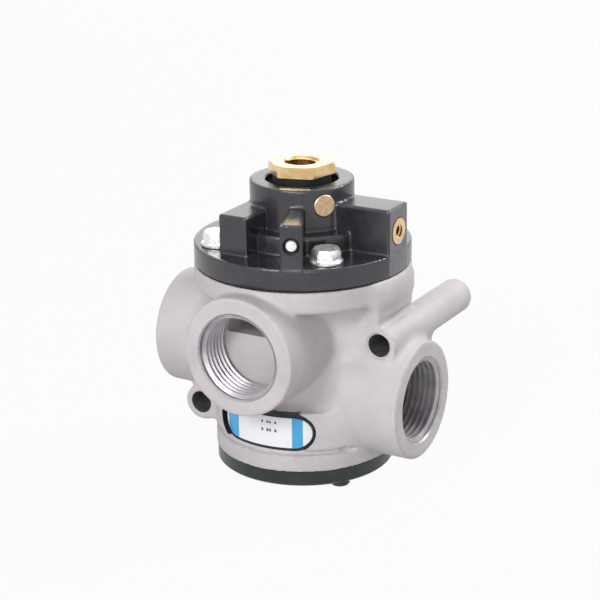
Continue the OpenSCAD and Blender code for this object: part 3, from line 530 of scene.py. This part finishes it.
def makeBody():
    c = casting
    mesh = fieldMesh("castBody", bodyField, bodyLow, bodyHigh, c["cell"])
    body = newObject("castBody", mesh)
    print("body field meshed:", len(mesh.polygons), "faces")
    bores = bmesh.new()
    mainBore(bores)
    for port in ports:
        reach, r, wide = port["reach"], c["port"], c["port"] + c["portLeadWide"]
        turned(bores, [(0, reach - c["portDepth"]), (r, reach - c["portDepth"]), (r, reach - c["portLead"]),
                       (wide, reach + 1), (wide, reach + 3), (0, reach + 3)],
               outward(port["azimuth"], port["height"]), 128)
    for x, z in tubes:
        r, wide, near, far = c["tubeHole"], c["tubeHole"] + c["tubeLeadWide"], -c["tubeFront"], -bodyHigh.y
        turned(bores, [(0, far - 1), (wide, far - 1), (r, far + c["tubeLead"]), (r, near - c["tubeLead"]),
                       (wide, near + 1), (0, near + 1)],
               Matrix.Translation((x * mm, 0, 0)) @ outward(0, z), 48)
    h, k = coverHoles, capHoles
    drill(bores, h["azimuths"], h["pitch"], h["r"], bodyHigh.z - h["deep"], bodyHigh.z + h["past"], 24)
    drill(bores, k["azimuths"], k["pitch"], k["r"], capTop - k["past"], capTop + k["deep"], 24)
    recessTool(bores)
    cutCrisp(body, bores)
    paint(body, ("lacqueredDieCasting", "tappedAluminium", "drilledHolePaintedShade", "recessPaintedShade"), bodyFinishAt)
    smoothByAngle(body)
    return settle(body, "housing", "cast_body", "body")


castBody = makeBody()

# Pilot cover: radii, reaches and heights, then its bores as pairs of radius and distance from the axis
cover = dict(
    disc=41.9, crown=26.0, crownTop=discTop + 7.3, hub=20.0, armHalf=7.5, armTop=discTop + 17.6, armReach=41.4,
    block=(-17.1, -4.7), blockReach=33.0, blockTop=discTop + 15.3, partFoot=0.6,
    lugAz=24.3, lugTop=discTop + 17.0, lugRoot=2.0, lugRim=4.3, lugStart=10, lugLength=33.9,
    sideZ=discTop + 8.1, pinZ=discTop + 8.9, plugAz=54.4, plugZ=coverHigh.z - 6.3,
    room=24.5, roomTop=3, boss=9, bossTop=5.2, drilling=3, shank=9.55, shankLow=18.2,
    pocket=13.98, pocketDeep=5, pocketLead=0.5, pocketLeadWide=1.5, screwHole=3.25,
    sideBore=[(0, 4), (1.5, 4), (1.5, 33.4), (5.05, 33.4), (5.05, 41.1), (5.9, 42.0), (0, 42.0)],
    pinBore=[(0, 4), (1, 4), (1, 27.6), (2.24, 27.6), (2.24, 39.6), (3.2, 40.4), (3.2, 41.5), (3.8, 42.5),
             (0, 42.5)],
    plugBore=[(0, 16), (4.25, 16), (4.25, 19.6), (5.6, 21), (0, 21)],
    discEdge=0.7, crownEdge=1.0, hubEdge=0.8, corner=0.9, lugEdge=0.5, stepFillet=0.7, partFillet=0.6,
    cell=0.62)


def coverField(p):
    c = cover
    x, y, z = p
    foot = coverLow.z
    low = foot + c["partFoot"]
    shape = rod(p, 2, origin, c["disc"], foot, discTop, c["discEdge"])
    shape = join(shape, rod(p, 2, origin, c["crown"], foot + 1, c["crownTop"], c["crownEdge"]), c["stepFillet"])
    shape = join(shape, rod(p, 2, origin, c["hub"], foot + 1, coverHigh.z, c["hubEdge"]), c["stepFillet"])
    arm = block(p, (0, -c["armHalf"], low), (c["armReach"], c["armHalf"], c["armTop"]), c["corner"])
    front = block(p, (c["block"][0], -c["blockReach"], low), (c["block"][1], 0, c["blockTop"]), c["corner"])
    a = math.radians(c["lugAz"])
    along, aside = x * math.sin(a) - y * math.cos(a), x * math.cos(a) + y * math.sin(a)
    half = c["lugRoot"] + (c["lugRim"] - c["lugRoot"]) * (along - c["lugStart"]) / c["lugLength"]
    lug = common(np.abs(aside) - half, np.hypot(x, y) - c["disc"], c["lugEdge"])
    lug = common(lug, np.maximum(z - c["lugTop"], low - z), c["lugEdge"])
    lug = np.maximum(lug, c["lugStart"] - along)
    for part in (arm, front, lug):
        shape = join(shape, part, c["partFillet"])
    return shape


def coverFinishAt(face):  # 0 as moulded, 1 painted light on the side port's milled end face
    x, y, z = face.center / mm
    return 1 if x > cover["armReach"] - 0.2 and abs(y) < cover["armHalf"] - 0.3 and face.normal.x > 0.9 else 0


def makeCover():
    c = cover
    mesh = fieldMesh("coverMoulding", coverField, coverLow, coverHigh, c["cell"])
    piece = newObject("coverMoulding", mesh)
    foot, top = coverLow.z, coverHigh.z
    bores = bmesh.new()
    turned(bores, [
        (0, foot - 1), (c["room"], foot - 1), (c["room"], foot + c["roomTop"]),
        (c["boss"], foot + c["roomTop"]), (c["boss"], foot + c["bossTop"]),
        (c["drilling"], foot + c["bossTop"]), (c["drilling"], foot + c["shankLow"]),
        (c["shank"], foot + c["shankLow"]), (c["shank"], top - c["pocketDeep"]),
        (c["pocket"], top - c["pocketDeep"]),
        (c["pocket"], top - c["pocketLead"]), (c["pocket"] + c["pocketLeadWide"], top + 1), (0, top + 1)])
    drill(bores, coverHoles["azimuths"], coverHoles["pitch"], c["screwHole"], foot - 1, discTop + 1, 32)
    turned(bores, c["sideBore"], outward(90, c["sideZ"]), 48)
    turned(bores, c["pinBore"], outward(c["lugAz"], c["pinZ"]), 40)
    turned(bores, c["plugBore"], outward(c["plugAz"], c["plugZ"]), 48)
    cutCrisp(piece, bores)
    # painted light: the side port's end face gets the paler nylon
    paint(piece, ("mouldedNylon", "milledEndPaintedLight"), coverFinishAt)
    smoothByAngle(piece)
    return settle(piece, "housing", "black_cover", "pilot_cover")


coverMoulding = makeCover()
print("cover made")


# What repeats, by Geometry Nodes: thread turns and screws
def newTree(name, inputs):
    tree = bpy.data.node_groups.new(name, "GeometryNodeTree")
    for title, kind, value in inputs:
        item = tree.interface.new_socket(title, in_out="INPUT", socket_type=kind)
        if value is not None:
            item.default_value = value
    tree.interface.new_socket("Geometry", in_out="OUTPUT", socket_type="NodeSocketGeometry")
    return tree, tree.nodes.new("NodeGroupInput").outputs


def closeTree(tree, geometry, material):
    plain = addNode(tree, "GeometryNodeRealizeInstances", links={"Geometry": geometry}).outputs["Geometry"]
    painted = addNode(tree, "GeometryNodeSetMaterial", links={"Geometry": plain, "Material": material})
    tree.links.new(painted.outputs["Geometry"], tree.nodes.new("NodeGroupOutput").inputs["Geometry"])


def grow(name, tree, values):  # runs a tree with these named inputs and returns the plain mesh
    carrier = newObject(name + "Carrier", bpy.data.meshes.new(name + "Carrier"))
    modifier = carrier.modifiers.new("grow", "NODES")
    modifier.node_group = tree
    for item in tree.interface.items_tree:
        if item.in_out == "INPUT" and item.name in values:
            modifier[item.identifier] = values[item.name]
    bpy.context.view_layer.update()
    mesh = bpy.data.meshes.new_from_object(carrier.evaluated_get(bpy.context.evaluated_depsgraph_get()))
    mesh.name = name
    carrier.modifiers.clear()
    bpy.data.objects.remove(carrier)
    return mesh


# A thread ridge: half widths of its foot and crest as shares of the pitch, how far its foot is sunk in
# the wall, how fast it swells from its inner and outer ends, and the thinnest it gets
ridgeShape = dict(foot=0.44, crest=0.07, sunk=0.00004, inner=1.0, outer=4.0, thinnest=0.02)


def makeThreadTree():
    s = ridgeShape
    tree, given = newTree("threadTurns", [
        ("Radius", "NodeSocketFloat", 0.0166), ("Pitch", "NodeSocketFloat", 0.0023),
        ("Turns", "NodeSocketFloat", 6.0), ("Depth", "NodeSocketFloat", 0.0014),
        ("Steps", "NodeSocketInt", 72), ("Finish", "NodeSocketMaterial", None)])
    maths = mathsIn(tree)

    def point(x, y):
        return addNode(tree, "ShaderNodeCombineXYZ", links={"X": x, "Y": y}).outputs["Vector"]

    path = addNode(tree, "GeometryNodeCurveSpiral", links={
        "Resolution": given["Steps"], "Rotations": given["Turns"], "Start Radius": given["Radius"],
        "End Radius": given["Radius"], "Height": maths("MULTIPLY", given["Turns"], given["Pitch"]),
        "Reverse": True}).outputs["Curve"]
    path = addNode(tree, "GeometryNodeSetCurveNormal", {"mode": "Z_UP"}, {"Curve": path}).outputs["Curve"]
    part = addNode(tree, "GeometryNodeSplineParameter").outputs["Factor"]
    inner = maths("MINIMUM", maths("MULTIPLY", maths("MULTIPLY", part, given["Turns"]), s["inner"]), 1.0)
    left = maths("SUBTRACT", 1.0, part)
    outer = maths("MINIMUM", maths("MULTIPLY", maths("MULTIPLY", left, given["Turns"]), s["outer"]), 1.0)
    width = maths("MAXIMUM", maths("MINIMUM", inner, outer), s["thinnest"])
    path = addNode(tree, "GeometryNodeSetCurveRadius", links={"Curve": path, "Radius": width}).outputs["Curve"]
    wide, narrow = maths("MULTIPLY", given["Pitch"], s["foot"]), maths("MULTIPLY", given["Pitch"], s["crest"])
    inwards = maths("MULTIPLY", given["Depth"], -1.0)
    shape = addNode(tree, "GeometryNodeCurvePrimitiveQuadrilateral", {"mode": "POINTS"}, {
        "Point 1": point(s["sunk"], wide), "Point 2": point(inwards, narrow),
        "Point 3": point(inwards, maths("MULTIPLY", narrow, -1.0)),
        "Point 4": point(s["sunk"], maths("MULTIPLY", wide, -1.0))})
    ridge = addNode(tree, "GeometryNodeCurveToMesh", links={
        "Curve": path, "Profile Curve": shape.outputs["Curve"], "Fill Caps": True}).outputs["Mesh"]
    closeTree(tree, ridge, given["Finish"])
    return tree


# Each thread: bore radius, pitch and depth of the ridge in millimetres, turns, steps a turn, place and finish
portThread = dict(r=16.6, pitch=2.309, depth=1.45, turns=6.3, steps=96, finish="tappedAluminium")
threads = {name: dict(portThread, place=outward(port["azimuth"], port["height"]), start=port["reach"] - 15.9)
           for name, port in zip(("exhaustThread", "inletThread", "outletThread"), ports)}
threads["pilotThread"] = dict(r=6.55, pitch=1.337, depth=0.75, turns=7.5, steps=64, finish="turnedBrass",
                              place=Matrix(), start=fittingHigh.z - 11)
threads["sidePortThread"] = dict(r=2.5, pitch=0.8, depth=0.45, turns=8.5, steps=32, finish="turnedBrass",
                                 place=outward(90, cover["sideZ"]), start=insertHigh.x - 7.4)
slots = {"tappedAluminium": "machined_aluminium", "turnedBrass": "brass"}


def makeThread(name, t, tree):
    mesh = grow(name, tree, {"Radius": t["r"] * mm, "Pitch": t["pitch"] * mm, "Turns": t["turns"],
                             "Depth": t["depth"] * mm, "Steps": t["steps"], "Finish": finish[t["finish"]]})
    mesh.transform(t["place"] @ Matrix.Translation((0, 0, t["start"] * mm)))
    work = bmesh.new()
    work.from_mesh(mesh)
    bmesh.ops.remove_doubles(work, verts=work.verts, dist=1e-7)
    bmesh.ops.recalc_face_normals(work, faces=work.faces)
    work.to_mesh(mesh)
    work.free()
    piece = newObject(name, mesh)
    smoothByAngle(piece, 25)
    settle(piece, "housing", slots[t["finish"]])


threadTree = makeThreadTree()
for name, thread in threads.items():
    makeThread(name, thread, threadTree)
print("threads cut")

# Hexagon screw with a flange washer: radii and heights, and the bevels of its washer and head
coverScrew = dict(washer=6.3, washerT=1.5, flats=10.0, head=4.0, shank=2.95, reach=15.9, pitchR=33.5,
                  washerFoot=0.3, washerTop=0.5, headTop=0.9, sunk=0.2, cornerOff=0.1, dip=0.75, steps=48)


def makeScrew():
    s = coverScrew
    corner = s["flats"] / 2 / math.cos(math.pi / 6)
    work = bmesh.new()
    turned(work, [(0, -s["reach"]), (s["shank"], -s["reach"]), (s["shank"], 0),
                  (s["washer"] - s["washerFoot"], 0),
                  (s["washer"], s["washerFoot"]), (s["washer"], s["washerT"] - s["washerTop"]),
                  (s["washer"] - s["washerTop"], s["washerT"]), (0, s["washerT"])], steps=s["steps"])
    head = bpy.data.meshes.new("head")
    work.to_mesh(head)
    work.free()
    hexagon = bmesh.new()
    steps, base = s["steps"], s["washerT"] - s["sunk"]
    rings = []
    for z, shrink in ((base, 0.0), (base + s["head"] - s["headTop"] + s["sunk"], 0.0),
                      (base + s["head"] + s["sunk"], s["headTop"])):
        ring = []
        for i in range(steps):
            a = 2 * math.pi * i / steps
            side = s["flats"] / 2 / math.cos((a + math.pi / 6) % (math.pi / 3) - math.pi / 6)
            r = min(side, corner - s["cornerOff"] - shrink)
            rise = z
            if shrink == 0 and z > base:  # the chamfer dips towards the corners
                rise = z - max(0.0, side - s["flats"] / 2) * s["dip"]
            ring.append(hexagon.verts.new(Vector((r * math.cos(a), r * math.sin(a), rise)) * mm))
        rings.append(ring)
    for a, b in zip(rings, rings[1:]):
        for i in range(steps):
            hexagon.faces.new([a[i], a[(i + 1) % steps], b[(i + 1) % steps], b[i]])
    hexagon.faces.new(rings[-1])
    hexagon.faces.new(rings[0])
    hexagon.from_mesh(head)
    bmesh.ops.recalc_face_normals(hexagon, faces=hexagon.faces)
    hexagon.to_mesh(head)
    hexagon.free()
    return newObject("screwPattern", head)


def makeScrewTree(pattern):
    tree, given = newTree("screwRing", [
        ("Count", "NodeSocketInt", 4), ("Pitch Radius", "NodeSocketFloat", 0.03),
        ("Height", "NodeSocketFloat", 0.0), ("Turn", "NodeSocketFloat", 0.0), ("Seed", "NodeSocketInt", 3),
        ("Finish", "NodeSocketMaterial", None)])
    ring = addNode(tree, "GeometryNodeMeshCircle", links={
        "Vertices": given["Count"], "Radius": given["Pitch Radius"]}).outputs["Mesh"]
    rise = addNode(tree, "ShaderNodeCombineXYZ", links={"Z": given["Height"]}).outputs["Vector"]
    turn = addNode(tree, "ShaderNodeCombineXYZ", links={"Z": given["Turn"]}).outputs["Vector"]
    ring = addNode(tree, "GeometryNodeTransform", links={
        "Geometry": ring, "Translation": rise, "Rotation": turn}).outputs["Geometry"]
    spin = addNode(tree, "FunctionNodeRandomValue", {"data_type": "FLOAT"}, {
        3: math.pi / 3, "Seed": given["Seed"]})
    spun = addNode(tree, "ShaderNodeCombineXYZ", links={"Z": spin.outputs[1]}).outputs["Vector"]
    screw = addNode(tree, "GeometryNodeObjectInfo", links={"Object": pattern}).outputs["Geometry"]
    placed = addNode(tree, "GeometryNodeInstanceOnPoints", links={
        "Points": ring, "Instance": screw, "Rotation": spun})
    closeTree(tree, placed.outputs["Instances"], given["Finish"])
    return tree


pattern = makeScrew()
screwMesh = grow("coverScrews", makeScrewTree(pattern), {
    "Count": 4, "Pitch Radius": coverScrew["pitchR"] * mm, "Height": discTop * mm, "Turn": math.radians(45),
    "Seed": 3, "Finish": finish["zincPlatedSteel"]})
bpy.data.objects.remove(pattern)
coverScrews = newObject("coverScrews", screwMesh)
smoothByAngle(coverScrews, 22)
settle(coverScrews, "housing", "steel", "cover_screws")
print("screws made:", len(screwMesh.polygons), "faces")

# Finishes on the pieces that carry over from the frame
carried = {
    "label_plate": "printedVinyl", "bottom_cap": "stoveEnamelledCap", "bottom_cap_seal": "mouldedNitrile",
    "bottom_cap_screws": "blackenedSteel", "guide_plate": "tappedAluminium", "guide_plate_seal": "mouldedNitrile",
    "guide_plate_ring": "phosphatedWire", "guide_bush": "sinteredBronze", "stem_seal": "mouldedNitrile",
    "cover_gasket": "mouldedNitrile", "pilot_fitting": "turnedBrass", "fitting_seal": "mouldedNitrile",
    "side_port_insert": "turnedBrass", "passage_plug": "barBrass", "stem": "groundSteel",
    "pilot_piston": "tappedAluminium", "piston_seal": "mouldedNitrile", "piston_nut": "zincPlatedSteel",
    "upper_poppet": "turnedBrass", "upper_poppet_seal": "mouldedNitrile", "poppet_clip": "phosphatedWire",
    "lower_poppet": "turnedBrass", "lower_poppet_seal": "mouldedNitrile", "lower_nut": "zincPlatedSteel",
    "return_spring": "phosphatedWire", "override_pin": "zincPlatedSteel", "override_seal": "mouldedNitrile"}
for nodeName, finishName in carried.items():
    nodes[nodeName].data.materials.clear()
    nodes[nodeName].data.materials.append(finish[finishName])
print("finishes on", len(carried), "carried pieces")

# Floor and light: the floor's glow is what the camera and the gloss see of it, over its shadow
studio = dict(floor="#B6B6B8", floorHalf=6.0, world="#FFFFFF", worldStrength=0.27, floorGlow=0.95,
              aim=(0, 0, 0.06))


def seenRays(tree):  # 1 for what the camera, the gloss and clear surfaces see, 0 for light on the object
    rays = addNode(tree, "ShaderNodeLightPath").outputs
    maths = mathsIn(tree)
    glossOrClear = maths("MAXIMUM", rays["Is Glossy Ray"], rays["Is Transmission Ray"])
    return maths("MAXIMUM", rays["Is Camera Ray"], glossOrClear)


def emptyTree(owner):
    owner.use_nodes = True
    owner.node_tree.nodes.clear()
    return owner.node_tree


def backdropMaterial():
    material = bpy.data.materials.new("paperFloor")
    tree = emptyTree(material)
    share = mathsIn(tree)("MULTIPLY", seenRays(tree), studio["floorGlow"])
    paper = addNode(tree, "ShaderNodeBsdfDiffuse", links={"Color": linear(studio["floor"])}).outputs[0]
    glow = addNode(tree, "ShaderNodeEmission", links={"Color": (1, 1, 1, 1), "Strength": 1.0}).outputs[0]
    mixed = addNode(tree, "ShaderNodeMixShader", links={0: share, 1: paper, 2: glow}).outputs[0]
    addNode(tree, "ShaderNodeOutputMaterial", links={"Surface": mixed})
    return material


def makeFloor():
    half, level = studio["floorHalf"], cadBox[0][2]
    floorMesh = bpy.data.meshes.new("floor")
    corners = [(-half, -half, level), (half, -half, level), (half, half, level), (-half, half, level)]
    floorMesh.from_pydata(corners, [], [(0, 1, 2, 3)])
    floorMesh.materials.append(backdropMaterial())
    newObject("floor", floorMesh)


def makeWorld():
    scene.world = bpy.data.worlds.new("studioWorld")
    tree = emptyTree(scene.world)
    soft = addNode(tree, "ShaderNodeBackground", links={
        "Color": linear(studio["world"]), "Strength": studio["worldStrength"]}).outputs[0]
    white = addNode(tree, "ShaderNodeBackground", links={"Color": (1, 1, 1, 1), "Strength": 1.0}).outputs[0]
    both = addNode(tree, "ShaderNodeMixShader", links={0: seenRays(tree), 1: soft, 2: white}).outputs[0]
    addNode(tree, "ShaderNodeOutputWorld", links={"Surface": both})


makeFloor()
makeWorld()
# each lamp: place in metres, size and power
lamps = {
    "keyLamp": ((-0.02, -1.05, 0.66), 0.35, 7.0),
    "topLamp": ((-0.1, 0.05, 1.15), 0.8, 1.4),
    "fillLamp": ((0.5, -1.15, 0.3), 0.5, 4.2),
    "rimLamp": ((0.545, 0.778, 0.915), 0.45, 11.0),
    "backLamp": ((-0.5, 0.9, 0.42), 1.0, 3.2),
}
for name, (place, size, power) in lamps.items():
    data = bpy.data.lights.new(name, "AREA")
    data.size, data.energy = size, power
    lamp = newObject(name, data)
    lamp.location = place
    lamp.visible_camera = False
    lamp.rotation_euler = (Vector(studio["aim"]) - Vector(place)).to_track_quat("-Z", "Y").to_euler()

# Camera: angles in degrees, distance and the height it looks at in metres
view = dict(azimuth=30.23, elevation=18.79, roll=-0.82, distance=0.7213, height=(capTop + 61.26) * mm,
            lens=111.41, sensor=36, shiftX=-0.0058, shiftY=-0.0149, nearest=0.05)


def makeCamera():
    camera = newObject("camera", bpy.data.cameras.new("camera"))
    az, el, roll = [math.radians(view[key]) for key in ("azimuth", "elevation", "roll")]
    back = Vector((math.sin(az) * math.cos(el), -math.cos(az) * math.cos(el), math.sin(el)))
    right = Vector((math.cos(az), math.sin(az), 0))
    right = right * math.cos(roll) + back.cross(right) * math.sin(roll)
    up = back.cross(right)
    turn = Matrix(((right.x, up.x, back.x, 0), (right.y, up.y, back.y, 0), (right.z, up.z, back.z, 0),
                   (0, 0, 0, 1)))
    camera.matrix_world = Matrix.Translation(back * view["distance"] + Vector((0, 0, view["height"]))) @ turn
    camera.data.sensor_width, camera.data.lens = view["sensor"], view["lens"]
    camera.data.shift_x, camera.data.shift_y = view["shiftX"], view["shiftY"]
    camera.data.clip_start = view["nearest"]
    scene.camera = camera


makeCamera()
scene.view_settings.view_transform = "Standard"
print("floor, lamps and camera placed")
